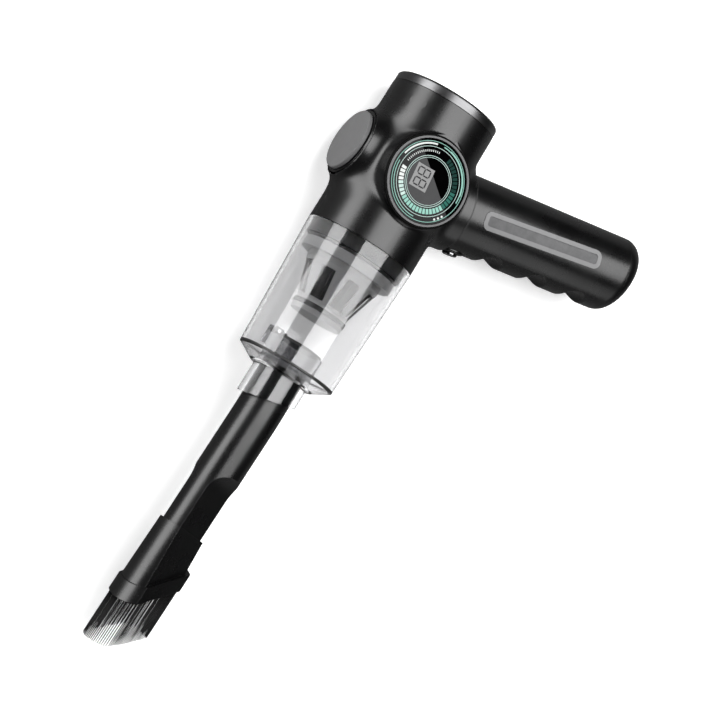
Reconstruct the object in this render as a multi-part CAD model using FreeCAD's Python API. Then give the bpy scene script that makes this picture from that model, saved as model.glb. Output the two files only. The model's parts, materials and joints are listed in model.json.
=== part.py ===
import FreeCAD, Part
import math
import os

# Handheld vacuum, lying on its far side.
# Working axes: X runs along the barrel towards the nozzle, Y towards the handle,
# Z out through the round display.  The origin is where the display's axis meets the
# barrel's axis; everything is moved to the bottom centre of the whole part at the end.
# All lengths are millimetres, all angles degrees.

Vec = FreeCAD.Vector
X = Vec(1, 0, 0)
Y = Vec(0, 1, 0)
Z = Vec(0, 0, 1)

# ---- driving dimensions ----------------------------------------------------------
BODY_REAR_X = -42.6
BODY_FRONT_X = 43.6
BODY_REAR_R = 30.8
BODY_FRONT_R = 31.4
BODY_WALL = 2.2

BAND_REAR_X = -48.4
BAND_R = 30.66
BAND_BORE_R = 27.6

CAP_FACE_Y = 38.3
CAP_R = 17.7
CAP_THICK = 2.1
CAP_BOSS_TOP_Y = 35.6
CAP_BOSS_TOP_R = 19.3
CAP_BOSS_ROOT_R = 21.6
CAP_BORE_R = 15.2

DISPLAY_HEIGHT = 32.8
DISPLAY_TILT = 3.6
DISPLAY_BOSS_R = 25.1
DISPLAY_POCKET_R = 24.1
DISPLAY_POCKET_DEPTH = 4.2
DISPLAY_FLOOR = 2.0
BEZEL_R = 24.0
BEZEL_BORE_R = 22.95

HANDLE_ROOT_X = 5.3
HANDLE_LEAN = 12.1
HANDLE_R = 21.7
HANDLE_CAVITY_R = 19.4
HANDLE_CAVITY_FLAT = 14.6
HANDLE_BOSS_R = 23.6
HANDLE_BOSS_END = 36.4
HANDLE_START = 37.6
HANDLE_END = 147.4
HANDLE_END_SLOPE = 0.22
HANDLE_END_ROUND = 9.0
END_WALL = 5.0
CAP_END_SPLIT = 139.5
SCALLOP_STATIONS = (65.4, 94.1, 119.9)
SCALLOP_DEPTH = 5.2
SCALLOP_R = 7.2
SCALLOP_LIP_R = 1.6

INLAY_CENTRE = 83.2
INLAY_SIDE_SHIFT = -1.0
INLAY_LENGTH = 75.0
INLAY_WIDTH = 10.4
INLAY_CORNER_R = 3.8
INLAY_FRAME = 2.4
INLAY_SKEW = 2.4

BUTTON_STATION = 43.4
BUTTON_R = 4.2
BUTTON_PROUD = 24.2
BUTTON_GAP = 0.3
FLANGE_TOP = 14.0
FLANGE_THICK = 1.3
SWITCH_X = 8.0

CUP_TOP_X = 43.9
CUP_RIM_X = 118.6
CUP_TOP_R = 31.4
CUP_RIM_R = 28.4
CUP_WALL = 1.8
CUP_RING_END_X = 119.7
CUP_RING_WIDTH = 1.5
CUP_BASE_END_X = 125.6
CUP_BASE_END_R = 18.2
CUP_BASE_FLOOR_X = 124.0

COLLAR_START_X = 121.2
COLLAR_R = 15.9
COLLAR_BORE_R = 12.93
COLLAR_END_X = 139.8
COLLAR_END_SLOPE = 0.215
INLET_TOP_X = 108.0
INLET_R = 15.3
INLET_BORE_R = 12.93
FLAP_R = 14.2

NECK_R = 28.5
NECK_END_X = 51.4
NECK_BORE_R = 26.0

FILTER_FLANGE_R = 26.9
FILTER_SHELF_X = 58.9
FILTER_CONE_R = 21.7
FILTER_TIP_R = 15.0
FILTER_CONE_END_X = 83.0
FILTER_END_X = 90.0
FILTER_WALL = 1.4
WINDOWS = 8
PLEATS = 28

NOZZLE_TUBE_R = 12.85
NOZZLE_WALL = 1.5
NOZZLE_START_X = 121.6
NOZZLE_BEND_X = 150.0
NOZZLE_BEND_R = 300.0
NOZZLE_TILT = 1.7
NOZZLE_TILT_TURN = 24.2
NOZZLE_END_X = 246.0
FLAT_START_X = 197.0
FLAT_HALF_THICK = 6.5
FLAT_TURN = 31.8
SCOOP_R = 14.5

SLEEVE_START_X = 221.4
SLEEVE_LOW_X = 262.0
SLEEVE_CLEARANCE = 0.08
HEAD_BOTTOM_X = 259.9
HEAD_RIM_HEIGHT = 10.3
HEAD_ROOF = 2.6
HEAD_SLOPE = 0.70
BRISTLE_TIP_X = 288.3
BRISTLE_TIP_SLOPE = 0.58
BRISTLE_ROOT = 2.0
BRISTLE_R = 0.55
BRISTLES = 52

# cross-sections of the brush head: half thickness, near half length, far half length, bulge
SLEEVE_TOP = (7.5, 12.6, 12.6, 1.7)
SLEEVE_LOW = (9.2, 11.3, 14.6, 2.9)
HEAD_RIM_OUTSIDE = (10.5, 11.6, 14.9, 3.2)
HEAD_RIM_MIDDLE = (9.5, 10.6, 13.9, 3.2)
HEAD_RIM_INSIDE = (8.5, 9.6, 12.9, 3.2)

MOTOR_R = 16.0
MOTOR_REAR_X = -24.0
MOTOR_FRONT_X = 18.0
SHAFT_R = 1.5
SHROUD_R = 24.0
FAN_R = 20.5
FAN_BLADES = 9

SCREW_R = 1.25
SCREW_HEAD_R = 2.6
SCREW_HEAD_Z = -9.0
POST_R = 3.4
CELL_R = 9.0
CELL_START = 58.0
CELL_END = 123.0

nodes = {}


# ---- small helpers ---------------------------------------------------------------
def rod_x(x_low, x_high, radius):
    return Part.makeCylinder(radius, x_high - x_low, Vec(x_low, 0, 0), X)


def tube_x(x_low, x_high, outer, inner):
    return rod_x(x_low, x_high, outer).cut(rod_x(x_low - 1, x_high + 1, inner))


def cone_x(x_low, x_high, r_low, r_high):
    return Part.makeCone(r_low, r_high, x_high - x_low, Vec(x_low, 0, 0), X)


def post(x, y, z_low, z_high, radius):
    return Part.makeCylinder(radius, z_high - z_low, Vec(x, y, z_low), Z)


def block(x_low, x_high, y_low, y_high, z_low, z_high):
    return Part.makeBox(x_high - x_low, y_high - y_low, z_high - z_low,
                        Vec(x_low, y_low, z_low))


def turned(shape, axis, degrees, centre=Vec(0, 0, 0)):
    copy = shape.copy()
    copy.rotate(centre, axis, degrees)
    return copy


def placed_on_handle(shape):
    """Moves a shape drawn with the handle along +Y from the origin onto the handle's axis."""
    copy = turned(shape, Z, HANDLE_LEAN)
    copy.translate(Vec(HANDLE_ROOT_X, 0, 0))
    return copy


def placed_on_display(shape):
    """Moves a shape drawn with the display's face at Z = 0 onto the tilted display seat."""
    copy = turned(shape, Y, -DISPLAY_TILT)
    copy.translate(Vec(0, 0, DISPLAY_HEIGHT))
    return copy


def softened(shape, radii, wanted):
    """Rounds the wanted edges with the first radius that gives a sound solid."""
    for radius in radii:
        edges = [edge for edge in shape.Edges if wanted(edge)]
        if not edges:
            return shape
        try:
            rounded = shape.makeFillet(radius, edges)
        except Exception:
            continue
        if rounded.isValid() and rounded.Volume > 0:
            return rounded
    return shape


def edge_is_at(axis_index, value, reach=0.02):
    def wanted(edge):
        box = edge.BoundBox
        low = (box.XMin, box.YMin, box.ZMin)[axis_index]
        high = (box.XMax, box.YMax, box.ZMax)[axis_index]
        return abs(low - value) < reach and abs(high - value) < reach
    return wanted


# ---- housing of the barrel -------------------------------------------------------
def handle_bar(s_low, s_high, radius):
    return placed_on_handle(Part.makeCylinder(radius, s_high - s_low, Vec(0, s_low, 0), Y))


def display_disc(z_low, z_high, radius):
    return placed_on_display(Part.makeCylinder(radius, z_high - z_low, Vec(0, 0, z_low), Z))


def cap_cone(y_near, y_far, r_near, r_far):
    return Part.makeCone(r_near, r_far, y_far - y_near, Vec(0, -y_near, 0), -Y)


barrel = cone_x(BODY_REAR_X, BODY_FRONT_X, BODY_REAR_R, BODY_FRONT_R)
cap_boss = cap_cone(18.0, CAP_BOSS_TOP_Y, CAP_BOSS_ROOT_R, CAP_BOSS_TOP_R)
display_boss = display_disc(-16.0, -0.4, DISPLAY_BOSS_R)
handle_boss = handle_bar(8.0, HANDLE_BOSS_END, HANDLE_BOSS_R)
outer = barrel.fuse([cap_boss, display_boss, handle_boss]).removeSplitter()


def is_blend_edge(edge):
    return edge.Curve.TypeId == "Part::GeomBSplineCurve"


outer = softened(outer, (3.0, 2.2, 1.5, 1.0, 0.6), is_blend_edge)
outer = outer.cut(display_disc(-0.4, 12.0, DISPLAY_BOSS_R))

seat_floor = display_disc(-DISPLAY_POCKET_DEPTH - DISPLAY_FLOOR, 12.0, DISPLAY_BOSS_R)
cavity = cone_x(BODY_REAR_X - 1, BODY_FRONT_X + 1, BODY_REAR_R - BODY_WALL,
                BODY_FRONT_R - BODY_WALL)
cavity = cavity.cut(seat_floor)
cap_bore = Part.makeCylinder(CAP_BORE_R, 30, Vec(0, -CAP_BOSS_TOP_Y - 1, 0), Y)
handle_bore = handle_bar(4.0, HANDLE_BOSS_END + 1, HANDLE_CAVITY_R - 0.9)
pocket = display_disc(-DISPLAY_POCKET_DEPTH, 12.0, DISPLAY_POCKET_R)
shell = outer.cut(cavity.fuse([cap_bore, handle_bore])).cut(pocket)

BODY_POSTS = ((-34.0, 23.0), (-34.0, -23.0), (3.0, -25.0))


def near_half(shape):
    return shape.common(block(-200, 400, -200, 300, 0, 200))


def far_half(shape):
    return shape.common(block(-200, 400, -200, 300, -200, 0))


def with_screw_posts(shape, blank, positions):
    """Splits a shell in two along Z = 0 and adds posts for the case screws."""
    near = near_half(shape)
    far = far_half(shape)
    for x, y in positions:
        near = near.fuse(post(x, y, 0, 60, POST_R).common(blank))
        near = near.cut(post(x, y, -1, 11, SCREW_R))
        far = far.fuse(post(x, y, -60, 0, POST_R).common(blank))
        far = far.cut(post(x, y, -60, 1, SCREW_R + 0.35))
        far = far.cut(post(x, y, -60, SCREW_HEAD_Z, SCREW_HEAD_R + 0.3))
    return near, far


nodes["housing_display_side"], nodes["housing_far_side"] = with_screw_posts(
    shell, outer.cut(pocket), BODY_POSTS)

# ---- rear end --------------------------------------------------------------------
band = rod_x(BAND_REAR_X, BODY_REAR_X - 0.3, BAND_R)
band = softened(band, (1.8, 1.2), edge_is_at(0, BAND_REAR_X))
band = band.cut(rod_x(BAND_REAR_X - 1, BODY_REAR_X, BAND_BORE_R))
nodes["rear_band"] = band.fuse(tube_x(BODY_REAR_X - 0.4, BODY_REAR_X + 3.0, 28.3, BAND_BORE_R))

grille = rod_x(-46.6, -44.4, BAND_BORE_R - 0.05)
for ring_radius, slot_length, slots in ((22.0, 6.6, 20), (13.4, 6.0, 12)):
    for index in range(slots):
        slot = block(-48, -43, -1.1, 1.1, -slot_length / 2, slot_length / 2)
        slot = slot.fuse(Part.makeCylinder(1.1, 5, Vec(-48, 0, slot_length / 2), X))
        slot = slot.fuse(Part.makeCylinder(1.1, 5, Vec(-48, 0, -slot_length / 2), X))
        slot.translate(Vec(0, 0, ring_radius))
        grille = grille.cut(turned(slot, X, 360.0 * index / slots))
nodes["exhaust_grille"] = grille
nodes["exhaust_filter"] = rod_x(-44.2, -40.2, BAND_BORE_R - 0.3)

# ---- cap on the boss opposite the handle ----------------------------------------
cover = Part.makeCylinder(CAP_R, CAP_THICK, Vec(0, -CAP_FACE_Y, 0), Y)
cover = softened(cover, (0.7,), edge_is_at(1, -CAP_FACE_Y))
cover = cover.fuse(Part.makeCylinder(16.6, 0.6, Vec(0, -CAP_FACE_Y + CAP_THICK, 0), Y))
spigot = Part.makeCylinder(CAP_BORE_R - 0.05, 5.0, Vec(0, -CAP_BOSS_TOP_Y, 0), Y)
spigot = spigot.cut(Part.makeCylinder(CAP_BORE_R - 2.0, 5.5, Vec(0, -CAP_BOSS_TOP_Y + 0.4, 0), Y))
nodes["side_cap"] = cover.fuse(spigot)

# ---- display ---------------------------------------------------------------------
def display_tube(z_low, z_high, outer_r, inner_r):
    return display_disc(z_low, z_high, outer_r).cut(
        display_disc(z_low - 1, z_high + 1, inner_r))


nodes["display_bezel"] = display_tube(-3.2, 0.9, BEZEL_R, BEZEL_BORE_R)
nodes["display_gasket"] = display_tube(-4.2, -3.2, BEZEL_R, 20.5)
nodes["display_window"] = display_disc(-1.6, 0.2, BEZEL_BORE_R - 0.05)
nodes["display_module"] = display_disc(-2.6, -1.7, 20.4).fuse(display_disc(-4.1, -2.6, 18.0))

# ---- handle ----------------------------------------------------------------------
def cut_by_end_plane(shape, offset):
    """Removes what lies beyond the slanted end plane, moved in by the offset."""
    wedge = Part.makePolygon([
        Vec(-60, HANDLE_END - offset + 60 * HANDLE_END_SLOPE, -60),
        Vec(60, HANDLE_END - offset - 60 * HANDLE_END_SLOPE, -60),
        Vec(60, HANDLE_END + 80, -60),
        Vec(-60, HANDLE_END + 80, -60),
        Vec(-60, HANDLE_END - offset + 60 * HANDLE_END_SLOPE, -60)])
    return shape.cut(Part.Face(wedge).extrude(Vec(0, 0, 120)))


def is_end_edge(edge):
    return edge.Curve.TypeId == "Part::GeomEllipse"


def is_scallop_lip(edge):
    """The curved rims where the finger scallops meet the round handle."""
    box = edge.BoundBox
    return (edge.Curve.TypeId == "Part::GeomBSplineCurve"
            and box.XMin > HANDLE_R - SCALLOP_DEPTH - 1 and box.YMax < HANDLE_END - 12)


grip = Part.makeCylinder(HANDLE_R, 150, Vec(0, HANDLE_START, 0), Y)
grip = cut_by_end_plane(grip, 0)
grip = softened(grip, (HANDLE_END_ROUND, 6.0, 4.0, 2.5), is_end_edge)
for station in SCALLOP_STATIONS:
    centre_x = HANDLE_R - SCALLOP_DEPTH + SCALLOP_R
    grip = grip.cut(Part.makeCylinder(SCALLOP_R, 60, Vec(centre_x, station, -30), Z))
grip = softened(grip, (SCALLOP_LIP_R, 1.2, 0.8), is_scallop_lip)

grip_cavity = Part.makeCylinder(HANDLE_CAVITY_R, 150, Vec(0, HANDLE_START + 1.8, 0), Y)
grip_cavity = cut_by_end_plane(grip_cavity, END_WALL)
grip_cavity = grip_cavity.common(block(-60, HANDLE_CAVITY_FLAT, 0, 200, -60, 60))
cavity_root = Part.makeCylinder(HANDLE_CAVITY_R - 0.9, 5, Vec(0, HANDLE_START - 1, 0), Y)
grip_shell = grip.cut(grip_cavity).cut(cavity_root)
button_hole = Part.makeCylinder(BUTTON_R + BUTTON_GAP, 20, Vec(10, BUTTON_STATION, 0), X)
grip_shell = grip_shell.cut(button_hole)


def inlay_prism(grow, z_low, z_high):
    """Long rounded slot outline on the handle's side, grown or shrunk all round."""
    half_width = INLAY_WIDTH / 2 + grow
    half_length = INLAY_LENGTH / 2 + grow
    corner = INLAY_CORNER_R + grow
    prism = block(-half_width, half_width, -half_length, half_length, z_low, z_high)
    upright = [edge for edge in prism.Edges if edge.BoundBox.ZLength > z_high - z_low - 0.01]
    prism = prism.makeFillet(corner, upright)
    prism = turned(prism, Z, INLAY_SKEW)
    prism.translate(Vec(INLAY_SIDE_SHIFT, INLAY_CENTRE, 0))
    return prism


def skin(r_low, r_high):
    return Part.makeCylinder(r_high, 150, Vec(0, 30, 0), Y).cut(
        Part.makeCylinder(r_low, 152, Vec(0, 29, 0), Y))


for side, z_low, z_high in (("display_side", 5, 30), ("far_side", -30, -5)):
    outline = inlay_prism(0, z_low, z_high)
    opening = inlay_prism(-INLAY_FRAME, z_low, z_high)
    recess = outline.common(skin(20.3, 25))
    grip_shell = grip_shell.cut(recess)
    grip = grip.cut(recess)
    frame = outline.cut(opening).common(skin(20.32, HANDLE_R + 0.25))
    pad = inlay_prism(-INLAY_FRAME - 0.05, z_low, z_high).common(skin(20.32, HANDLE_R - 0.1))
    nodes["grip_frame_" + side] = placed_on_handle(frame)
    nodes["grip_pad_" + side] = placed_on_handle(pad)

lower_grip = grip_shell.common(block(-60, 60, 0, CAP_END_SPLIT, -60, 60))
end_shell = grip_shell.common(block(-60, 60, CAP_END_SPLIT + 0.15, 200, -60, 60))
HANDLE_POSTS = ((-12.5, 51.0), (0.0, 134.0))
near, far = with_screw_posts(lower_grip, grip.common(block(-60, 60, 0, CAP_END_SPLIT, -60, 60)),
                             HANDLE_POSTS)
nodes["handle_shell_display_side"] = placed_on_handle(near)
nodes["handle_shell_far_side"] = placed_on_handle(far)

PORT_HALF_WIDTH = 4.6
PORT_HALF_HEIGHT = 1.75


def port_prism(grow, s_low, s_high):
    half = PORT_HALF_WIDTH - PORT_HALF_HEIGHT
    height = PORT_HALF_HEIGHT + grow
    prism = block(-half, half, s_low, s_high, -height, height)
    for end in (-half, half):
        prism = prism.fuse(Part.makeCylinder(height, s_high - s_low, Vec(end, s_low, 0), Y))
    return prism


lip = Part.makeCylinder(HANDLE_CAVITY_R - 0.1, 4.0, Vec(0, CAP_END_SPLIT - 2.0, 0), Y)
lip = lip.cut(Part.makeCylinder(HANDLE_CAVITY_R - 1.8, 5.0, Vec(0, CAP_END_SPLIT - 2.5, 0), Y))
lip = lip.common(block(-60, HANDLE_CAVITY_FLAT - 0.1, 0, 200, -60, 60))
lip = cut_by_end_plane(lip, END_WALL + 0.1)
end_cap = end_shell.fuse(lip.common(block(-60, 60, 0, CAP_END_SPLIT + 2, -60, 60)))
end_cap = end_cap.cut(port_prism(0.55, CAP_END_SPLIT - 0.5, 170))
nodes["handle_end_cap"] = placed_on_handle(end_cap)
port = port_prism(0.5, 139.4, HANDLE_END - 1.0).cut(port_prism(0, 140.4, HANDLE_END + 1))
port = port.fuse(block(-2.6, 2.6, 140.4, HANDLE_END - 2.0, -0.35, 0.35))
nodes["charging_port"] = placed_on_handle(port)
nodes["handle_root_ring"] = placed_on_handle(
    Part.makeCylinder(22.4, HANDLE_START - HANDLE_BOSS_END, Vec(0, HANDLE_BOSS_END, 0), Y).cut(
        Part.makeCylinder(18.5, 5, Vec(0, HANDLE_BOSS_END - 1, 0), Y)))

# battery pack and boards inside the handle
for name, height in (("battery_cell_near", 9.25), ("battery_cell_far", -9.25)):
    cell = Part.makeCylinder(CELL_R, CELL_END - CELL_START - 1.2, Vec(-1, CELL_START, height), Y)
    cell = softened(cell, (0.6,), edge_is_at(1, CELL_START))
    cell = cell.fuse(Part.makeCylinder(2.8, 1.2, Vec(-1, CELL_END - 1.2, height), Y))
    nodes[name] = placed_on_handle(cell)
cradle = block(-3.0, 1.0, CELL_START, CELL_END, -0.2, 0.2)
for s_low in (CELL_START - 2.2, CELL_END + 0.1):
    plate = Part.makeCylinder(HANDLE_CAVITY_R - 0.4, 2.0, Vec(0, s_low, 0), Y)
    plate = plate.common(block(-60, HANDLE_CAVITY_FLAT - 0.2, 0, 200, -60, 60))
    cradle = cradle.fuse(plate)
cradle = cradle.fuse(block(-3.0, 1.0, CELL_START - 0.5, CELL_END + 0.5, -0.2, 0.2))
nodes["battery_cradle"] = placed_on_handle(cradle)
charge_board = Part.makeCylinder(15.5, 1.6, Vec(0, 126.4, 0), Y)
charge_board = charge_board.fuse(block(4, 9, 128.0, 131.0, -6, 6))
charge_board = charge_board.fuse(block(-11, -6, 128.0, 130.2, -5, 5))
charge_board = charge_board.common(block(-60, HANDLE_CAVITY_FLAT - 0.3, 0, 200, -60, 60))
nodes["charge_board"] = placed_on_handle(charge_board)

# ---- power button ----------------------------------------------------------------
button = Part.makeCylinder(BUTTON_R, BUTTON_PROUD - FLANGE_TOP, Vec(FLANGE_TOP, BUTTON_STATION, 0), X)
button = softened(button, (1.0, 0.6), edge_is_at(0, BUTTON_PROUD))
button = button.fuse(Part.makeCylinder(BUTTON_R + 1.2, FLANGE_THICK,
                                       Vec(FLANGE_TOP - FLANGE_THICK, BUTTON_STATION, 0), X))
nodes["power_button"] = placed_on_handle(button)
switch_board = block(SWITCH_X - 1.6, SWITCH_X, BUTTON_STATION - 5, BUTTON_STATION + 9, -14, 14)
nodes["switch_board"] = placed_on_handle(switch_board)
switch = block(SWITCH_X, SWITCH_X + 2.2, BUTTON_STATION - 3, BUTTON_STATION + 3, -3, 3)
switch = switch.fuse(Part.makeCylinder(1.7, 1.0, Vec(SWITCH_X + 2.2, BUTTON_STATION, 0), X))
nodes["tact_switch"] = placed_on_handle(switch)

# ---- motor and fan ---------------------------------------------------------------
can = tube_x(MOTOR_REAR_X, MOTOR_FRONT_X, MOTOR_R, MOTOR_R - 1.0)
can = can.fuse(tube_x(MOTOR_FRONT_X - 1.2, MOTOR_FRONT_X, MOTOR_R - 0.5, 4.0))
can = can.fuse(tube_x(MOTOR_REAR_X, MOTOR_REAR_X + 1.2, MOTOR_R - 0.5, 4.0))
for index in range(6):
    vent = Part.makeCylinder(2.0, 3.0, Vec(MOTOR_REAR_X - 1, 0, 9.5), X)
    can = can.cut(turned(vent, X, 60.0 * index))
nodes["motor_can"] = can
stator = tube_x(-13.0, 8.0, MOTOR_R - 1.05, 12.6)
for index in range(6):
    tooth = block(-13.0, 8.0, -2.4, 2.4, 8.4, 13.2)
    stator = stator.fuse(turned(tooth, X, 60.0 * index))
nodes["motor_stator"] = stator
nodes["motor_shaft"] = rod_x(-25.5, 33.0, SHAFT_R)
nodes["motor_rotor"] = tube_x(-12.0, 7.0, 7.9, SHAFT_R)
for name, x_low in (("bearing_rear", MOTOR_REAR_X), ("bearing_front", MOTOR_FRONT_X - 3.6)):
    nodes[name] = tube_x(x_low, x_low + 3.6, 3.98, SHAFT_R + 0.04)

fan = tube_x(22.0, 23.4, FAN_R, SHAFT_R).fuse(tube_x(22.0, 32.0, 4.2, SHAFT_R))
fan = fan.fuse(Part.makeCone(9.0, 4.2, 4.0, Vec(23.4, 0, 0), X).cut(rod_x(20, 40, SHAFT_R)))
for index in range(FAN_BLADES):
    leading = []
    trailing = []
    for step in range(7):
        reach = 6.0 + step * (FAN_R - 6.2) / 6
        sweep = math.radians(11.0 * step)
        half = 0.4 / reach
        leading.append(Vec(23.2, reach * math.sin(sweep + half), reach * math.cos(sweep + half)))
        trailing.append(Vec(23.2, reach * math.sin(sweep - half), reach * math.cos(sweep - half)))
    rim = leading + trailing[::-1] + leading[:1]
    solid = Part.Face(Part.makePolygon(rim)).extrude(Vec(6.4, 0, 0))
    fan = fan.fuse(turned(solid, X, 360.0 * index / FAN_BLADES))
nodes["impeller"] = fan

shroud = tube_x(19.0, 33.2, SHROUD_R, SHROUD_R - 1.4)
shroud = shroud.fuse(tube_x(31.8, 33.2, SHROUD_R - 0.5, 10.5))
shroud = shroud.fuse(tube_x(33.2, 36.8, 12.0, 10.5))
for index in range(12):
    vane = block(19.0, 31.9, -0.6, 0.6, FAN_R + 0.9, SHROUD_R - 0.6)
    shroud = shroud.fuse(turned(vane, X, 30.0 * index))
nodes["fan_shroud"] = shroud
seat_clear = display_disc(-DISPLAY_POCKET_DEPTH - DISPLAY_FLOOR - 0.2, 12.0, DISPLAY_BOSS_R + 0.3)
for name, x_low in (("motor_mount_front", 12.0), ("motor_mount_rear", -22.0)):
    mount = tube_x(x_low, x_low + 3.2, 28.3, MOTOR_R + 0.02)
    for index in range(8):
        hole = Part.makeCylinder(3.6, 6.0, Vec(x_low - 1, 0, 22.2), X)
        mount = mount.cut(turned(hole, X, 45.0 * index + 22.5))
    nodes[name] = mount.cut(seat_clear)

board = block(-15, 9, -11, 11, -22.6, -21.0)
board = board.fuse(block(-11, -3, -7, 1, -24.6, -22.6))
board = board.fuse(block(1, 5, -8, 6, -24.2, -22.6))
nodes["control_board"] = board
lead_path = [Vec(-2, 3, -20.4), Vec(-6, 14, -19), Vec(-4, 30, -8), Vec(-6, 44, -2),
             Vec(-7, 52, 0)]
lead_curve = Part.BSplineCurve()
lead_curve.interpolate(lead_path)
lead_wire = Part.Wire([lead_curve.toShape()])
start = lead_path[0]
heading = lead_curve.tangent(lead_curve.FirstParameter)[0]
loop = Part.Wire([Part.makeCircle(0.9, start, heading)])
lead = lead_wire.makePipeShell([loop], True, False)
second_lead = lead.copy()
second_lead.translate(Vec(0, 0, 2.4))
nodes["battery_leads"] = Part.makeCompound([lead, second_lead])

# ---- neck that the cup and filter plug onto --------------------------------------
neck = tube_x(38.6, 43.5, BODY_FRONT_R - BODY_WALL - 0.1, 26.0)
neck = neck.fuse(tube_x(38.6, 40.4, 27.0, 18.0))
neck = neck.fuse(tube_x(43.2, NECK_END_X, NECK_R, NECK_BORE_R))
nodes["front_neck"] = neck
guard = rod_x(40.6, 42.0, 25.9)
for index in range(18):
    slot = block(40, 43, -1.2, 1.2, 8.0, 18.0)
    guard = guard.cut(turned(slot, X, 20.0 * index))
nodes["motor_guard"] = guard

# ---- filter ----------------------------------------------------------------------
holder = tube_x(46.6, 54.0, NECK_BORE_R - 0.3, NECK_BORE_R - 2.2)
holder = holder.fuse(tube_x(53.4, FILTER_SHELF_X, FILTER_FLANGE_R, NECK_BORE_R - 2.2))
holder = holder.fuse(tube_x(FILTER_SHELF_X - 1.4, FILTER_SHELF_X, FILTER_FLANGE_R - 0.5, 20.2))
holder = holder.fuse(tube_x(FILTER_SHELF_X - 0.5, 62.0, FILTER_CONE_R, FILTER_CONE_R - FILTER_WALL))
cone = cone_x(61.5, FILTER_CONE_END_X, FILTER_CONE_R, FILTER_TIP_R)
cone = cone.cut(cone_x(61.5, FILTER_CONE_END_X, FILTER_CONE_R - FILTER_WALL,
                       FILTER_TIP_R - FILTER_WALL))
for index in range(WINDOWS):
    window = block(64.5, 81.5, -4.2, 4.2, 8, 26)
    cone = cone.cut(turned(window, X, 360.0 * index / WINDOWS))
holder = holder.fuse(cone)
holder = holder.fuse(tube_x(FILTER_CONE_END_X - 0.3, FILTER_END_X, FILTER_TIP_R,
                            FILTER_TIP_R - FILTER_WALL))
holder = holder.fuse(rod_x(FILTER_END_X - 1.5, FILTER_END_X, FILTER_TIP_R - 0.5))
nodes["filter_holder"] = holder


def pleat_loop(x, crest, valley):
    points = []
    for index in range(2 * PLEATS):
        angle = math.pi * index / PLEATS
        radius = crest if index % 2 == 0 else valley
        points.append(Vec(x, radius * math.sin(angle), radius * math.cos(angle)))
    points.append(points[0])
    return Part.makePolygon(points)


pleats = Part.makeLoft([pleat_loop(60.0, 20.0, 16.4), pleat_loop(82.6, 13.4, 10.4)], True, True)
nodes["pleated_filter"] = pleats.cut(rod_x(58, 81.0, 8.0))
nodes["filter_end_band"] = tube_x(84.4, 87.0, FILTER_TIP_R + 0.6, FILTER_TIP_R)
nodes["filter_seal"] = tube_x(NECK_END_X + 0.3, 53.3, 26.9, NECK_BORE_R - 0.25)

# ---- dust cup --------------------------------------------------------------------
wall = cone_x(CUP_TOP_X, CUP_RIM_X, CUP_TOP_R, CUP_RIM_R)
wall = wall.cut(cone_x(CUP_TOP_X, CUP_RIM_X, CUP_TOP_R - CUP_WALL, CUP_RIM_R - CUP_WALL))
nodes["dust_cup"] = wall
nodes["cup_rim_seal"] = tube_x(CUP_RIM_X, CUP_RING_END_X, CUP_RIM_R, CUP_RIM_R - CUP_RING_WIDTH)
base = cone_x(CUP_RING_END_X, CUP_BASE_END_X, CUP_RIM_R - 0.1, CUP_BASE_END_R)
base = base.cut(cone_x(CUP_RING_END_X - 0.1, CUP_BASE_FLOOR_X, CUP_RIM_R - CUP_RING_WIDTH - 0.2,
                       CUP_BASE_END_R + 0.6))
nodes["cup_base"] = base.cut(rod_x(CUP_BASE_FLOOR_X - 5, CUP_BASE_END_X + 5, COLLAR_R + 0.02))
collar = rod_x(COLLAR_START_X, 150, COLLAR_R).cut(rod_x(100, 160, COLLAR_BORE_R))
slant = Part.makePolygon([
    Vec(COLLAR_END_X + 40 * COLLAR_END_SLOPE, -40, -40),
    Vec(COLLAR_END_X - 40 * COLLAR_END_SLOPE, 40, -40),
    Vec(200, 40, -40), Vec(200, -40, -40),
    Vec(COLLAR_END_X + 40 * COLLAR_END_SLOPE, -40, -40)])
nodes["inlet_collar"] = collar.cut(Part.Face(slant).extrude(Vec(0, 0, 80)))
inlet = tube_x(INLET_TOP_X, COLLAR_START_X - 0.02, INLET_R, INLET_BORE_R)
HINGE_X = INLET_TOP_X - 1.6
HINGE_Y = -(INLET_R + 0.9)
for z_low, z_high in ((3.3, 5.6), (-5.6, -3.3)):
    ear = block(HINGE_X - 1.8, INLET_TOP_X + 7.0, HINGE_Y - 1.8, -INLET_BORE_R - 0.6, z_low, z_high)
    inlet = inlet.fuse(ear)
inlet = inlet.cut(rod_x(INLET_TOP_X - 9, COLLAR_START_X, INLET_BORE_R))
inlet = inlet.cut(rod_x(INLET_TOP_X - 9, INLET_TOP_X - 0.02, FLAP_R + 0.3))
inlet = inlet.cut(post(HINGE_X, HINGE_Y, -8, 8, 0.9))
nodes["inlet_tube"] = inlet
nodes["flap_pin"] = post(HINGE_X, HINGE_Y, -6.2, 6.2, 0.9)
flap = rod_x(INLET_TOP_X - 1.6, INLET_TOP_X - 0.3, FLAP_R)
flap = flap.fuse(block(INLET_TOP_X - 2.9, INLET_TOP_X - 0.3, HINGE_Y, -10, -3.0, 3.0))
flap = flap.fuse(post(HINGE_X, HINGE_Y, -3.0, 3.0, 1.7))
nodes["inlet_flap"] = flap.cut(post(HINGE_X, HINGE_Y, -8, 8, 0.95))

# ---- crevice nozzle --------------------------------------------------------------
# The nozzle and brush are drawn along X with their wide faces level, then turned about X
# and tilted a little at the bend, where the tube leaves the collar.
def tilted(direction):
    """A vector across or along the barrel as it is after the nozzle's bend."""
    turn = math.radians(NOZZLE_TILT_TURN)
    axis = Vec(0, math.sin(turn), -math.cos(turn))
    return FreeCAD.Rotation(axis, NOZZLE_TILT).multVec(direction)


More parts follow.
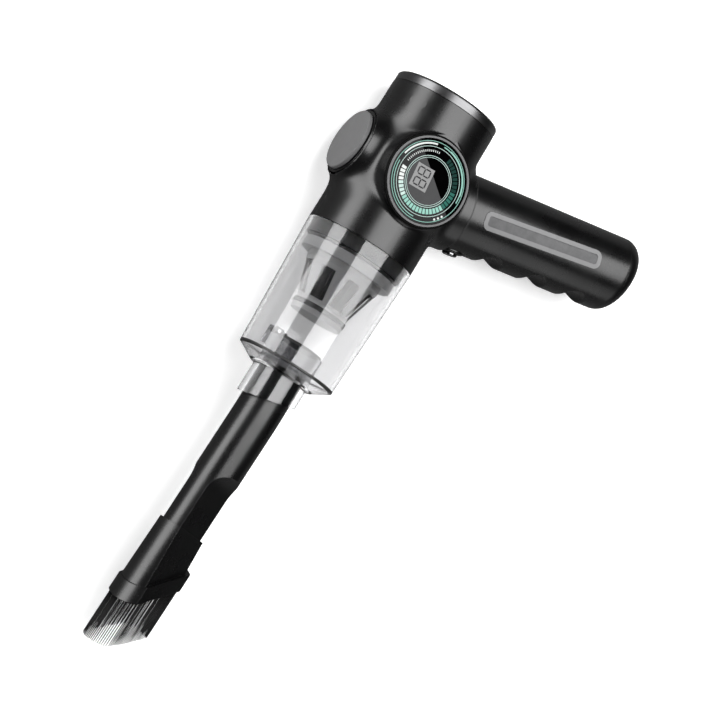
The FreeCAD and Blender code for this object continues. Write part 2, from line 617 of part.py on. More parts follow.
def placed_on_nozzle(shape):
    turn = math.radians(NOZZLE_TILT_TURN)
    copy = turned(shape, X, -FLAT_TURN)
    return turned(copy, Vec(0, math.sin(turn), -math.cos(turn)), NOZZLE_TILT,
                  Vec(NOZZLE_BEND_X, 0, 0))


def bent_rod(radius, x_low, x_high):
    """Round rod along the barrel's axis that turns by the nozzle's tilt on a wide arc."""
    bend = Vec(NOZZLE_BEND_X, 0, 0)
    ahead = tilted(X)
    half_tilt = math.radians(NOZZLE_TILT / 2)
    reach = NOZZLE_BEND_R * math.tan(half_tilt)
    inward = (ahead - X).normalize()
    middle = bend + inward * (NOZZLE_BEND_R / math.cos(half_tilt) - NOZZLE_BEND_R)
    before = bend - X * reach
    after = bend + ahead * reach
    path = Part.Wire([
        Part.LineSegment(Vec(x_low, 0, 0), before).toShape(),
        Part.Arc(before, middle, after).toShape(),
        Part.LineSegment(after, bend + ahead * (x_high - NOZZLE_BEND_X)).toShape()])
    circle = Part.Wire([Part.makeCircle(radius, Vec(x_low, 0, 0), X)])
    return path.makePipeShell([circle], True, True)


def flats_cut(shape, inset):
    """Cuts both wide flats, and the scoops that run out of them into the round tube."""
    level = FLAT_HALF_THICK - inset
    scoop_centre = FLAT_HALF_THICK + SCOOP_R
    slab = block(FLAT_START_X, NOZZLE_END_X + 40, -40, 40, level, 40)
    scoop = Part.makeCylinder(SCOOP_R + inset, 80, Vec(FLAT_START_X, -40, scoop_centre), Y)
    tool = slab.fuse(scoop)
    for degrees in (0, 180):
        shape = shape.cut(placed_on_nozzle(turned(tool, X, degrees)))
    return shape


nozzle = flats_cut(bent_rod(NOZZLE_TUBE_R, NOZZLE_START_X, NOZZLE_END_X), 0)
nozzle_bore = bent_rod(NOZZLE_TUBE_R - NOZZLE_WALL, NOZZLE_START_X - 2, NOZZLE_END_X + 2)
nodes["crevice_nozzle"] = nozzle.cut(flats_cut(nozzle_bore, NOZZLE_WALL))


# ---- brush head ------------------------------------------------------------------
def head_loop(x, section):
    """Two straight wide sides joined by two gently bulging narrow sides."""
    half_thick, near, far, bulge = section
    corners = [Vec(x, -near, half_thick), Vec(x, far, half_thick),
               Vec(x, far, -half_thick), Vec(x, -near, -half_thick)]
    return Part.Wire([
        Part.LineSegment(corners[0], corners[1]).toShape(),
        Part.Arc(corners[1], Vec(x, far + bulge, 0), corners[2]).toShape(),
        Part.LineSegment(corners[2], corners[3]).toShape(),
        Part.Arc(corners[3], Vec(x, -near - bulge, 0), corners[0]).toShape()])


def head_bar(x_low, x_high, section):
    return Part.Face(head_loop(x_low, section)).extrude(Vec(x_high - x_low, 0, 0))


def beyond_slant(x_at_centre):
    """Everything past the plane of the mouth, which lies further out on the near side."""
    reach = 50
    lean = HEAD_SLOPE * reach
    outline = Part.makePolygon([
        Vec(x_at_centre + lean, -reach, -60), Vec(x_at_centre - lean, reach, -60),
        Vec(x_at_centre + 200, reach, -60), Vec(x_at_centre + 200, -reach, -60),
        Vec(x_at_centre + lean, -reach, -60)])
    return Part.Face(outline).extrude(Vec(0, 0, 120))


sleeve = Part.makeLoft([head_loop(SLEEVE_START_X, SLEEVE_TOP),
                        head_loop(SLEEVE_LOW_X, SLEEVE_LOW)], True, True)
rim_top_x = HEAD_BOTTOM_X - HEAD_RIM_HEIGHT
rim = head_bar(225, 290, HEAD_RIM_OUTSIDE).common(beyond_slant(rim_top_x))
head = sleeve.fuse(rim).cut(beyond_slant(HEAD_BOTTOM_X))
sleeve_bore = rod_x(SLEEVE_START_X - 1, 290, NOZZLE_TUBE_R + SLEEVE_CLEARANCE)
bore_half = FLAT_HALF_THICK + SLEEVE_CLEARANCE
sleeve_bore = sleeve_bore.common(block(200, 300, -40, 40, -bore_half, bore_half))
mouth = head_bar(225, 290, HEAD_RIM_INSIDE).common(beyond_slant(rim_top_x + HEAD_ROOF))
nodes["brush_body"] = placed_on_nozzle(head.cut(sleeve_bore).cut(mouth))

rim_line = head_loop(0, HEAD_RIM_MIDDLE)
strands = []
for spot in rim_line.discretize(Number=BRISTLES + 1)[:BRISTLES]:
    root_x = HEAD_BOTTOM_X - HEAD_SLOPE * spot.y - BRISTLE_ROOT
    tip_x = BRISTLE_TIP_X - BRISTLE_TIP_SLOPE * spot.y
    strand = Part.makeCylinder(BRISTLE_R, tip_x - root_x, Vec(root_x, spot.y, spot.z), X)
    strands.append(placed_on_nozzle(strand))
nodes["bristles"] = Part.makeCompound(strands)

# ---- case screws, all alike ------------------------------------------------------
screws = []
for x, y in BODY_POSTS:
    screws.append((x, y, False))
for x, y in HANDLE_POSTS:
    screws.append((x, y, True))
screw_solids = []
for x, y, on_handle in screws:
    screw = post(x, y, SCREW_HEAD_Z, 10.0, SCREW_R)
    screw = screw.fuse(post(x, y, SCREW_HEAD_Z - 2.2, SCREW_HEAD_Z, SCREW_HEAD_R))
    for angle in (0, 90):
        drive = block(x - 1.6, x + 1.6, y - 0.4, y + 0.4, SCREW_HEAD_Z - 3, SCREW_HEAD_Z - 1.0)
        screw = screw.cut(turned(drive, Z, angle, Vec(x, y, 0)))
    screw_solids.append(placed_on_handle(screw) if on_handle else screw)
nodes["case_screws"] = Part.makeCompound(screw_solids)

# ---- move to the bottom centre and write -----------------------------------------
whole = Part.makeCompound(list(nodes.values())).optimalBoundingBox(False)
shift = Vec(-(whole.XMin + whole.XMax) / 2, -(whole.YMin + whole.YMax) / 2, -whole.ZMin)
os.makedirs("parts", exist_ok=True)
for name, shape in nodes.items():
    shape.translate(shift)
    shape.exportStep("parts/" + name + ".step")
    if not shape.isValid() or shape.Volume <= 0:
        print("check", name, shape.isValid(), round(shape.Volume, 1))
print("moved by", round(shift.x, 3), round(shift.y, 3), round(shift.z, 3))
print("size", round(whole.XLength, 2), round(whole.YLength, 2), round(whole.ZLength, 2))
print("nodes", len(nodes))
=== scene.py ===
import json
import math
import random

import bmesh
import bpy
import numpy as np
from mathutils import Matrix, Vector


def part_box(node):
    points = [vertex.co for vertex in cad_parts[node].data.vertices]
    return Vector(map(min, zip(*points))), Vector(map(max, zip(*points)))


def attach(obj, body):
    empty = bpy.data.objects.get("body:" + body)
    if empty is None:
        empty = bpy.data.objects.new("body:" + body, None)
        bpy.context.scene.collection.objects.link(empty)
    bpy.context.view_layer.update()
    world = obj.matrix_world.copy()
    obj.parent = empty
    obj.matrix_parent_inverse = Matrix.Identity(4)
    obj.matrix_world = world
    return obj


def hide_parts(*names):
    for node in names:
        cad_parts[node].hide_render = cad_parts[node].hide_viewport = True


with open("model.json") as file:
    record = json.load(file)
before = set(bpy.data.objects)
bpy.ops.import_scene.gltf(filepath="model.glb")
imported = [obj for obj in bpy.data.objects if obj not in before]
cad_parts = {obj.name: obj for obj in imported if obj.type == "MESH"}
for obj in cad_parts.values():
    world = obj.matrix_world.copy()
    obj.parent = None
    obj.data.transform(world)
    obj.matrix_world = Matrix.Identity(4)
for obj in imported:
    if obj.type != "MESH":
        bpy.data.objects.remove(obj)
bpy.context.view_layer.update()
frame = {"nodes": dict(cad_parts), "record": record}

NODES = frame["nodes"]
MM = 0.001

# ---- places read from the frame --------------------------------------------------
# Shapes are drawn in millimetres from the point where the display's axis meets the barrel's
# axis: +X to the nozzle, +Y to the handle, +Z to the display.
BAND_REAR_X = -48.4
BAND_LOW, BAND_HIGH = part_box("rear_band")
ORIGIN = Vector((BAND_LOW.x - BAND_REAR_X * MM, (BAND_LOW.y + BAND_HIGH.y) / 2,
                 (BAND_LOW.z + BAND_HIGH.z) / 2))
DISPLAY_TILT = 3.6
DISPLAY_HEIGHT = 32.8
DISPLAY_R = 24.0
HANDLE_ROOT_X = 5.3
HANDLE_LEAN = 12.1
DISPLAY_SEAT = Matrix.Translation((0, 0, DISPLAY_HEIGHT)) @ Matrix.Rotation(
    math.radians(-DISPLAY_TILT), 4, "Y")
HANDLE_SEAT = Matrix.Translation((HANDLE_ROOT_X, 0, 0)) @ Matrix.Rotation(
    math.radians(HANDLE_LEAN), 4, "Z")
TO_FRAME = Matrix.Translation(ORIGIN) @ Matrix.Scale(MM, 4)


# ---- material helpers ------------------------------------------------------------
# noise scales are in cycles per metre
GLOSS_SCALE = 38.0
RUB_SCALE = 210.0
SMEAR_SCALE = 46.0
RIPPLE_SCALE = 900.0
GLOW_SCALE = 700.0
RIPPLE_DEPTH = 0.004
SMEAR_ROUGHNESS = 0.05
COAT_ROUGHNESS = 0.1
PLASTIC_IOR = 1.46
BEVEL_SAMPLES = 4


def new_material(name):
    material = bpy.data.materials.new(name)
    material.use_nodes = True
    tree = material.node_tree
    return material, tree, tree.nodes["Principled BSDF"]


def add(tree, kind, **values):
    node = tree.nodes.new(kind)
    for key, value in values.items():
        if hasattr(node, key):
            setattr(node, key, value)
        else:
            node.inputs[key.replace("_", " ")].default_value = value
    return node


def coordinates(tree, stretch=(1, 1, 1)):
    """Object coordinates in metres, stretched to lay a grain along one direction."""
    source = add(tree, "ShaderNodeTexCoord")
    mapping = add(tree, "ShaderNodeMapping")
    mapping.inputs["Scale"].default_value = stretch
    tree.links.new(source.outputs["Object"], mapping.inputs["Vector"])
    return mapping.outputs["Vector"]


def noise(tree, where, scale, detail=4.0, roughness=0.55):
    node = add(tree, "ShaderNodeTexNoise")
    node.inputs["Scale"].default_value = scale
    node.inputs["Detail"].default_value = detail
    node.inputs["Roughness"].default_value = roughness
    tree.links.new(where, node.inputs["Vector"])
    return node.outputs["Fac"]


def spread(tree, value, low, high, cut_low=0.3, cut_high=0.7):
    """The value's stretch between the two cuts, carried to low..high."""
    node = add(tree, "ShaderNodeMapRange")
    for key, number in (("From Min", cut_low), ("From Max", cut_high),
                        ("To Min", low), ("To Max", high)):
        node.inputs[key].default_value = number
    tree.links.new(value, node.inputs["Value"])
    return node.outputs["Result"]


def blend_colour(tree, factor, first, second):
    node = add(tree, "ShaderNodeMix", data_type="RGBA")
    node.inputs[6].default_value = (*first, 1)
    node.inputs[7].default_value = (*second, 1)
    tree.links.new(factor, node.inputs["Factor"])
    return node.outputs[2]


def bumped(tree, shader, height, distance, edge=0.0):
    """Fine relief in the shading, with every sharp edge rounded by the edge radius in mm."""
    node = add(tree, "ShaderNodeBump")
    if edge > 0:
        corner = add(tree, "ShaderNodeBevel")
        corner.samples = BEVEL_SAMPLES
        corner.inputs["Radius"].default_value = edge * MM
        tree.links.new(corner.outputs["Normal"], node.inputs["Normal"])
    node.inputs["Distance"].default_value = distance
    node.inputs["Strength"].default_value = 1.0
    tree.links.new(height, node.inputs["Height"])
    tree.links.new(node.outputs["Normal"], shader.inputs["Normal"])


def moulded(name, colour, roughness, grain=0.35, depth=0.010, metallic=0.0, shift=0.12,
            stretch=(1, 1, 1), coat=0.0, specular=0.5, edge=0.0):
    """Moulded or plated skin: fine grain, slow change of gloss and faint change of colour.

    The grain, its depth and the edge radius are in millimetres."""
    material, tree, shader = new_material(name)
    where = coordinates(tree, stretch)
    fine = noise(tree, where, 1 / (grain * MM), 3.0)
    slow = noise(tree, where, GLOSS_SCALE, 5.0)
    rub = noise(tree, where, RUB_SCALE, 6.0, 0.7)
    dark = tuple(channel * (1 - shift) for channel in colour)
    light = tuple(min(1.0, channel * (1 + shift) + 0.0004) for channel in colour)
    tree.links.new(blend_colour(tree, spread(tree, rub, 0, 1), dark, light),
                   shader.inputs["Base Color"])
    tree.links.new(spread(tree, slow, roughness * 0.86, min(1, roughness * 1.16)),
                   shader.inputs["Roughness"])
    bumped(tree, shader, fine, depth * MM, edge=edge)
    shader.inputs["Metallic"].default_value = metallic
    shader.inputs["Specular IOR Level"].default_value = specular
    shader.inputs["Coat Weight"].default_value = coat
    shader.inputs["Coat Roughness"].default_value = COAT_ROUGHNESS
    return material


def clear_plastic(name, tint, roughness, share=1.0):
    """See-through moulding with faint handling smears; the share is how much light it lets by."""
    material, tree, shader = new_material(name)
    where = coordinates(tree)
    slow = noise(tree, where, SMEAR_SCALE, 6.0, 0.65)
    fine = noise(tree, where, RIPPLE_SCALE, 3.0)
    shader.inputs["Base Color"].default_value = (*tint, 1)
    shader.inputs["Transmission Weight"].default_value = share
    shader.inputs["IOR"].default_value = PLASTIC_IOR
    tree.links.new(spread(tree, slow, roughness, roughness + SMEAR_ROUGHNESS),
                   shader.inputs["Roughness"])
    bumped(tree, shader, fine, RIPPLE_DEPTH * MM)
    return material


def lit(name, colour, strength):
    """Glowing print under the display window, a little uneven across its area."""
    material, tree, shader = new_material(name)
    where = coordinates(tree)
    glow = noise(tree, where, GLOW_SCALE, 2.0)
    dim = tuple(channel * 0.86 for channel in colour)
    hue = blend_colour(tree, spread(tree, glow, 0, 1), dim, colour)
    shader.inputs["Base Color"].default_value = (*(channel * 0.1 for channel in colour), 1)
    tree.links.new(hue, shader.inputs["Emission Color"])
    shader.inputs["Emission Strength"].default_value = strength
    shader.inputs["Roughness"].default_value = 0.6
    shader.inputs["Specular IOR Level"].default_value = 0.05
    return material


MATERIALS = {
    "shell_black": moulded("shell_black", (0.0010, 0.0010, 0.0011), 0.28, edge=0.35),
    "nozzle_black": moulded("nozzle_black", (0.0010, 0.0010, 0.0011), 0.28, edge=0.45),
    "band_silver": moulded("band_silver", (0.115, 0.115, 0.117), 0.30, metallic=1.0, shift=0.05,
                           stretch=(6, 1, 1)),
    "grille_black": moulded("grille_black", (0.012, 0.012, 0.012), 0.5),
    "foam_grey": moulded("foam_grey", (0.05, 0.05, 0.052), 0.95, grain=0.9, depth=0.5, shift=0.5),
    "cap_grey": moulded("cap_grey", (0.085, 0.085, 0.086), 0.62, shift=0.05, specular=0.3),
    "bezel_silver": moulded("bezel_silver", (0.11, 0.11, 0.112), 0.45, shift=0.05, specular=0.15),
    "seal_rubber": moulded("seal_rubber", (0.012, 0.012, 0.012), 0.45),
    "display_glass": moulded("display_glass", (0.0004, 0.0004, 0.0004), 0.10, depth=0.001,
                             specular=0.0),
    "board_green": moulded("board_green", (0.02, 0.12, 0.05), 0.4, grain=1.2),
    "frame_grey": moulded("frame_grey", (0.175, 0.175, 0.177), 0.5, shift=0.05, specular=0.25),
    "pad_grey": moulded("pad_grey", (0.105, 0.105, 0.107), 0.75, grain=0.8, depth=0.08,
                        shift=0.16, specular=0.2),
    "port_metal": moulded("port_metal", (0.6, 0.6, 0.6), 0.3, metallic=1.0),
    "cell_wrap": moulded("cell_wrap", (0.05, 0.2, 0.4), 0.35, coat=0.3),
    "cradle_white": moulded("cradle_white", (0.7, 0.7, 0.67), 0.5),
    "lead_red": moulded("lead_red", (0.45, 0.02, 0.02), 0.5),
    "button_chrome": moulded("button_chrome", (0.20, 0.20, 0.205), 0.12, metallic=1.0, shift=0.03,
                             depth=0.002),
    "switch_black": moulded("switch_black", (0.02, 0.02, 0.02), 0.5),
    "motor_steel": moulded("motor_steel", (0.5, 0.5, 0.51), 0.34, metallic=1.0, stretch=(1, 5, 5)),
    "fan_white": moulded("fan_white", (0.65, 0.65, 0.62), 0.45),
    "filter_smoke": clear_plastic("filter_smoke", (0.46, 0.46, 0.465), 0.35, share=0.5),
    "pleat_white": moulded("pleat_white", (0.09, 0.09, 0.09), 0.9, grain=0.25, depth=0.05),
    "cup_clear": clear_plastic("cup_clear", (0.75, 0.75, 0.755), 0.03),
    "inlet_smoke": clear_plastic("inlet_smoke", (0.40, 0.40, 0.41), 0.08),
    "flap_rubber": moulded("flap_rubber", (0.03, 0.03, 0.03), 0.5),
    "bristle_grey": moulded("bristle_grey", (0.004, 0.004, 0.0042), 0.45, specular=0.2,
                            stretch=(0.2, 1, 1)),
}


def paint_frame():
    """Gives every CAD node the material of its slot."""
    for part in frame["record"]["subparts"]:
        node = NODES[part["node"]]
        node.data.materials.clear()
        node.data.materials.append(MATERIALS[part["material_slot"]])


paint_frame()


# ---- mesh helpers ----------------------------------------------------------------
def add_piece(name, mesh, body, slot, material=None, smooth=True):
    """Puts a mesh drawn in millimetres into the frame, on a body."""
    mesh.transform(TO_FRAME)
    mesh.update()
    piece = bpy.data.objects.new(name, mesh)
    bpy.context.scene.collection.objects.link(piece)
    mesh.materials.clear()
    mesh.materials.append(material or MATERIALS[slot])
    if smooth:
        mesh.shade_smooth()
    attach(piece, body)
    return piece


def mesh_of(name, corners, faces, seat=None):
    """A mesh from its corners and faces, moved to its seat."""
    mesh = bpy.data.meshes.new(name)
    mesh.from_pydata([tuple(corner) for corner in corners], [], faces)
    if seat is not None:
        mesh.transform(seat)
    mesh.update()
    return mesh


def joined(name, meshes):
    """One mesh that holds all the others."""
    builder = bmesh.new()
    for mesh in meshes:
        builder.from_mesh(mesh)
    whole = bpy.data.meshes.new(name)
    builder.to_mesh(whole)
    builder.free()
    return whole


def turned_solid(name, profile, steps, seat=None, axis="Z"):
    """Closed solid of revolution from (radius, height) points that start and end on the axis."""
    corners, faces, rings = [], [], []
    for radius, height in profile:
        if radius == 0:
            rings.append([len(corners)] * steps)
            corners.append((0, 0, height))
            continue
        rings.append(list(range(len(corners), len(corners) + steps)))
        for step in range(steps):
            angle = 2 * math.pi * step / steps
            corners.append((radius * math.cos(angle), radius * math.sin(angle), height))
    for low, high in zip(rings, rings[1:]):
        for step in range(steps):
            after = (step + 1) % steps
            face = [low[step], low[after], high[after], high[step]]
            face = [corner for index, corner in enumerate(face) if corner not in face[:index]]
            if len(face) > 2:
                faces.append(face)
    if axis == "X":
        corners = [(z, x, y) for x, y, z in corners]
    return mesh_of(name, corners, faces, seat)


# ---- soft blends between the barrel and its bosses -------------------------------
BARREL_REAR_X = -42.6
BARREL_FRONT_X = 43.6
BARREL_REAR_R = 30.8
BARREL_FRONT_R = 31.4
BARREL_MEAN_R = 31.1
CAP_TOP_Y = 35.6
CAP_TOP_R = 19.3
CAP_ROOT_R = 21.6
CAP_ROOT_Y = 18.0
DISPLAY_BOSS_R = 25.1
DISPLAY_BOSS_DEPTH = 20
HANDLE_BOSS_R = 23.6
HANDLE_BOSS_END = 36.4
CAP_BLEND_R = 15.0
DISPLAY_BLEND_R = 12.0
HANDLE_BLEND_R = 9.0
BLEND_SINK = 0.05
DISPLAY_RIM_HEIGHT = 0.7
BLEND_MARGIN = 3
BLEND_WALL = 0.9
BLEND_VOXEL = 0.75
BLEND_STEPS = 96
BLEND_EDGE_GAP = 0.2
BOSS_TOP_GAP = 0.15
DISPLAY_TOP_GAP = 0.5


def seen_from(seat, points):
    """Points in the seat's own axes."""
    inverse = np.array(seat.inverted())
    return points @ inverse[:3, :3].T + inverse[:3, 3]


def barrel_distance(points):
    """Distance to the barrel, which widens a little towards the cup."""
    share = (points[:, 0] - BARREL_REAR_X) / (BARREL_FRONT_X - BARREL_REAR_X)
    return np.hypot(points[:, 1], points[:, 2]) - (
        BARREL_REAR_R + share * (BARREL_FRONT_R - BARREL_REAR_R))


def cap_boss_distance(points):
    share = np.clip((-points[:, 1] - CAP_ROOT_Y) / (CAP_TOP_Y - CAP_ROOT_Y), 0, 1)
    wall = np.hypot(points[:, 0], points[:, 2]) - (CAP_ROOT_R + share * (CAP_TOP_R - CAP_ROOT_R))
    return np.maximum(wall, points[:, 1])


def display_boss_distance(points):
    local = seen_from(DISPLAY_SEAT, points)
    wall = np.hypot(local[:, 0], local[:, 1]) - DISPLAY_BOSS_R
    return np.maximum(wall, -DISPLAY_BOSS_DEPTH - local[:, 2])


def handle_boss_distance(points):
    local = seen_from(HANDLE_SEAT, points)
    wall = np.hypot(local[:, 0], local[:, 2]) - HANDLE_BOSS_R
    return np.maximum(wall, -local[:, 1])


def rounded_union(first, second, reach):
    """Distance to two joined solids whose corner is filled, fading out softly at the reach."""
    near = np.maximum(reach - np.abs(first - second), 0) / reach
    return np.minimum(first, second) - near ** 3 * reach / 6


def body_distance(points):
    """The barrel with its handle boss and cap boss, their fillets included."""
    whole = rounded_union(barrel_distance(points), handle_boss_distance(points), HANDLE_BLEND_R)
    return rounded_union(whole, cap_boss_distance(points), CAP_BLEND_R)


def display_reach(points):
    """The display boss's fillet shrinks to nothing where its rim stands little above the barrel."""
    local = seen_from(DISPLAY_SEAT, points)
    angle = np.arctan2(local[:, 1], local[:, 0])
    rim = np.stack([DISPLAY_BOSS_R * np.cos(angle), DISPLAY_BOSS_R * np.sin(angle),
                    np.full(len(points), -DISPLAY_RIM_HEIGHT)], axis=1)
    seat = np.array(DISPLAY_SEAT)
    clearance = body_distance(rim @ seat[:3, :3].T + seat[:3, 3])
    return np.clip(clearance, 0.2, DISPLAY_BLEND_R)


def blended_distance(points):
    whole = rounded_union(body_distance(points), display_boss_distance(points),
                          display_reach(points))
    return whole + BLEND_SINK


def sharp_distance(points):
    parts = (barrel_distance(points), handle_boss_distance(points), cap_boss_distance(points),
             display_boss_distance(points))
    return np.minimum.reduce(parts)


def drawn_onto(distance, points, rounds):
    """Moves points along the distance's slope until they lie on its zero surface."""
    reach = 0.02
    for _ in range(rounds):
        value = distance(points)
        slope = np.stack([(distance(points + step) - distance(points - step)) / (2 * reach)
                          for step in np.eye(3) * reach], axis=1)
        length = np.maximum((slope ** 2).sum(1), 0.05)
        points = points - slope * (value / length)[:, None]
    return points


def evened(points, edges, rounds, distance):
    """Spreads the points over the surface: each is drawn to its neighbours and back onto it."""
    count = np.bincount(edges.ravel(), minlength=len(points))[:, None]
    for _ in range(rounds):
        total = np.zeros_like(points)
        np.add.at(total, edges[:, 0], points[edges[:, 1]])
        np.add.at(total, edges[:, 1], points[edges[:, 0]])
        points = drawn_onto(distance, 0.4 * points + 0.6 * total / count, 2)
    return points


def remeshed(mesh, voxel):
    """One skin round all the closed solids in the mesh."""
    holder = bpy.data.objects.new("remesh_holder", mesh)
    bpy.context.scene.collection.objects.link(holder)
    change = holder.modifiers.new("skin", "REMESH")
    change.mode = "VOXEL"
    change.voxel_size = voxel
    skin = bpy.data.meshes.new_from_object(
        holder.evaluated_get(bpy.context.evaluated_depsgraph_get()))
    bpy.data.objects.remove(holder)
    return skin


def rod(radius, low, high):
    """Outline of a plain round rod, for turned_solid."""
    return [(0, low), (radius, low), (radius, high), (0, high)]


def make_housing_blends():
    """The wide fillets round the cap, display and handle bosses, proud of the plain barrel."""
    low_x, high_x = BARREL_REAR_X - 4, BARREL_FRONT_X + 4
    cap_seat = Matrix.Rotation(math.radians(90), 4, "X")
    handle_seat = HANDLE_SEAT @ Matrix.Rotation(math.radians(-90), 4, "X")
    cap_top, display_top, handle_top = 42, 6, 44
    cap = [(0, 0), (CAP_ROOT_R, 0), (CAP_ROOT_R, CAP_ROOT_Y), (CAP_TOP_R, CAP_TOP_Y),
           (CAP_TOP_R, cap_top), (0, cap_top)]
    solids = [
        turned_solid("barrel", rod(BARREL_MEAN_R, low_x, high_x), BLEND_STEPS, axis="X"),
        turned_solid("cap", cap, BLEND_STEPS, cap_seat),
        turned_solid("display", rod(DISPLAY_BOSS_R, -DISPLAY_BOSS_DEPTH, display_top), BLEND_STEPS,
                     DISPLAY_SEAT),
        turned_solid("handle", rod(HANDLE_BOSS_R, 0, handle_top), BLEND_STEPS, handle_seat)]
    skin = remeshed(joined("bosses", solids), BLEND_VOXEL)
    points = np.array([vertex.co for vertex in skin.vertices])
    edges = np.array([edge.vertices for edge in skin.edges])
    points = drawn_onto(blended_distance, points, 5)
    points = evened(points, edges, 6, blended_distance)
    display = seen_from(DISPLAY_SEAT, points)
    handle = seen_from(HANDLE_SEAT, points)
    kept = points[:, 0] > BARREL_REAR_X + BLEND_EDGE_GAP
    kept &= points[:, 0] < BARREL_FRONT_X - BLEND_EDGE_GAP
    kept &= points[:, 1] > -CAP_TOP_Y + BOSS_TOP_GAP
    kept &= handle[:, 1] < HANDLE_BOSS_END - BOSS_TOP_GAP
    kept &= display[:, 2] < -DISPLAY_TOP_GAP
    shown = (sharp_distance(points) > -0.6 * BLEND_SINK) & kept
    for _ in range(BLEND_MARGIN):
        reached = shown[edges].any(axis=1)
        shown[edges[reached].ravel()] = True
    shown &= kept
    faces = [tuple(face.vertices) for face in skin.polygons if all(shown[list(face.vertices)])]
    mesh = mesh_of("housing_blends", points, faces)
    builder = bmesh.new()
    builder.from_mesh(mesh)
    loose = [vertex for vertex in builder.verts if not vertex.link_faces]
    bmesh.ops.delete(builder, geom=loose, context="VERTS")
    builder.to_mesh(mesh)
    builder.free()
    piece = add_piece("housing_blends", mesh, "housing", "shell_black")
    wall = piece.modifiers.new("wall", "SOLIDIFY")
    wall.thickness = BLEND_WALL * MM
    wall.offset = -1


make_housing_blends()


# ---- trim round the display and the button ---------------------------------------
BUTTON_STATION = 43.4
TRIM_INNER_R = 24.02
TRIM_OUTER_R = 25.3
SURROUND_BORE_R = 4.5
SURROUND_ROOT = 20.4
TRIM_BLACK = moulded("trim_black", (0.0008, 0.0008, 0.0008), 0.6, specular=0.06)


def turned_ring(name, profile, steps, seat, stretch=None):
    """Closed ring: the (radius, height) loop carried round the seat's own Z axis.

    The stretch gives, for each profile point, how much wider it is along the seat's X axis."""
    stretch = stretch or [1.0] * len(profile)
    corners, faces = [], []
    count = len(profile)
    for step in range(steps):
        angle = 2 * math.pi * step / steps
        for (radius, height), wider in zip(profile, stretch):
            corners.append((radius * wider * math.cos(angle), radius * math.sin(angle), height))
    for step in range(steps):
        here, there = step * count, (step + 1) % steps * count
        for k in range(count):
            after = (k + 1) % count
            faces.append((here + k, there + k, there + after, here + after))
    return mesh_of(name, corners, faces, seat)


def make_display_trim():
    """Dull black lip that closes the boss round the bezel."""
    profile = [(TRIM_INNER_R, -0.8), (TRIM_OUTER_R, -0.8), (25.25, -0.15), (24.95, 0.1),
               (24.5, 0.16), (TRIM_INNER_R, 0.1)]
    mesh = turned_ring("display_trim", profile, 128, DISPLAY_SEAT)
    add_piece("display_trim", mesh, "housing", "seal_rubber", material=TRIM_BLACK)


def make_button_surround():
    """Oval black base that the power button stands in."""
    seat = HANDLE_SEAT @ Matrix.Translation((0, BUTTON_STATION, 0)) @ Matrix.Rotation(
        math.radians(90), 4, "Y") @ Matrix.Rotation(math.radians(90), 4, "Z")
    profile = [(SURROUND_BORE_R, SURROUND_ROOT), (6.4, SURROUND_ROOT), (6.3, 21.6), (5.7, 22.3),
               (5.0, 22.6), (SURROUND_BORE_R, 22.5)]
    mesh = turned_ring("button_surround", profile, 64, seat, [1.0, 1.18, 1.18, 1.14, 1.06, 1.0])
    add_piece("button_surround", mesh, "housing", "shell_black")


# ---- brush filaments -------------------------------------------------------------
NOZZLE_BEND_X = 150.0
NOZZLE_TILT = 1.7
NOZZLE_TILT_TURN = 24.2
FLAT_TURN = 31.8
BEND_AXIS = (0, math.sin(math.radians(NOZZLE_TILT_TURN)),
             -math.cos(math.radians(NOZZLE_TILT_TURN)))
NOZZLE_SEAT = Matrix.Translation((NOZZLE_BEND_X, 0, 0)) @ Matrix.Rotation(
    math.radians(NOZZLE_TILT), 4, BEND_AXIS) @ Matrix.Translation(
    (-NOZZLE_BEND_X, 0, 0)) @ Matrix.Rotation(math.radians(-FLAT_TURN), 4, "X")
HEAD_BOTTOM_X = 259.9
HEAD_SLOPE = 0.70
RIM_HALF_THICK = 9.5
RIM_NEAR = 10.6
RIM_FAR = 13.9
RIM_BULGE = 3.2
TIP_X = 288.3
TIP_SLOPE = 0.58
FILAMENTS = 76
FILAMENT_R = 0.34
FILAMENT_ROOT = 2.0
FILAMENT_SIDES = 7
FILAMENT_TAPER = 6
TIP_SHARE = 0.7
TIP_UNEVEN = 0.9
ARC_STEPS = 12


def rim_loop():
    """Points along the middle of the brush's rim: two straight sides, two bulging ends."""
    radius = (RIM_HALF_THICK ** 2 + RIM_BULGE ** 2) / (2 * RIM_BULGE)
    sweep = math.asin(RIM_HALF_THICK / radius)
    points = []
    for side, end in ((1, RIM_FAR), (-1, RIM_NEAR)):
        for step in range(ARC_STEPS + 1):
            angle = sweep * (1 - step / (ARC_STEPS / 2))
            y = side * (end + RIM_BULGE - radius + radius * math.cos(angle))
            points.append((y, side * radius * math.sin(angle)))
    return points


def along_loop(points, count):
    """Evenly spaced spots on a closed loop of straight steps."""
    spots, gap = [], 0.0
    steps = [(a, b, math.dist(a, b)) for a, b in zip(points, points[1:] + points[:1])]
    pitch = sum(length for _, _, length in steps) / count
    for a, b, length in steps:
        while gap < length and len(spots) < count:
            share = gap / length
            spots.append((a[0] + share * (b[0] - a[0]), a[1] + share * (b[1] - a[1])))
            gap += pitch
        gap -= length
    return spots


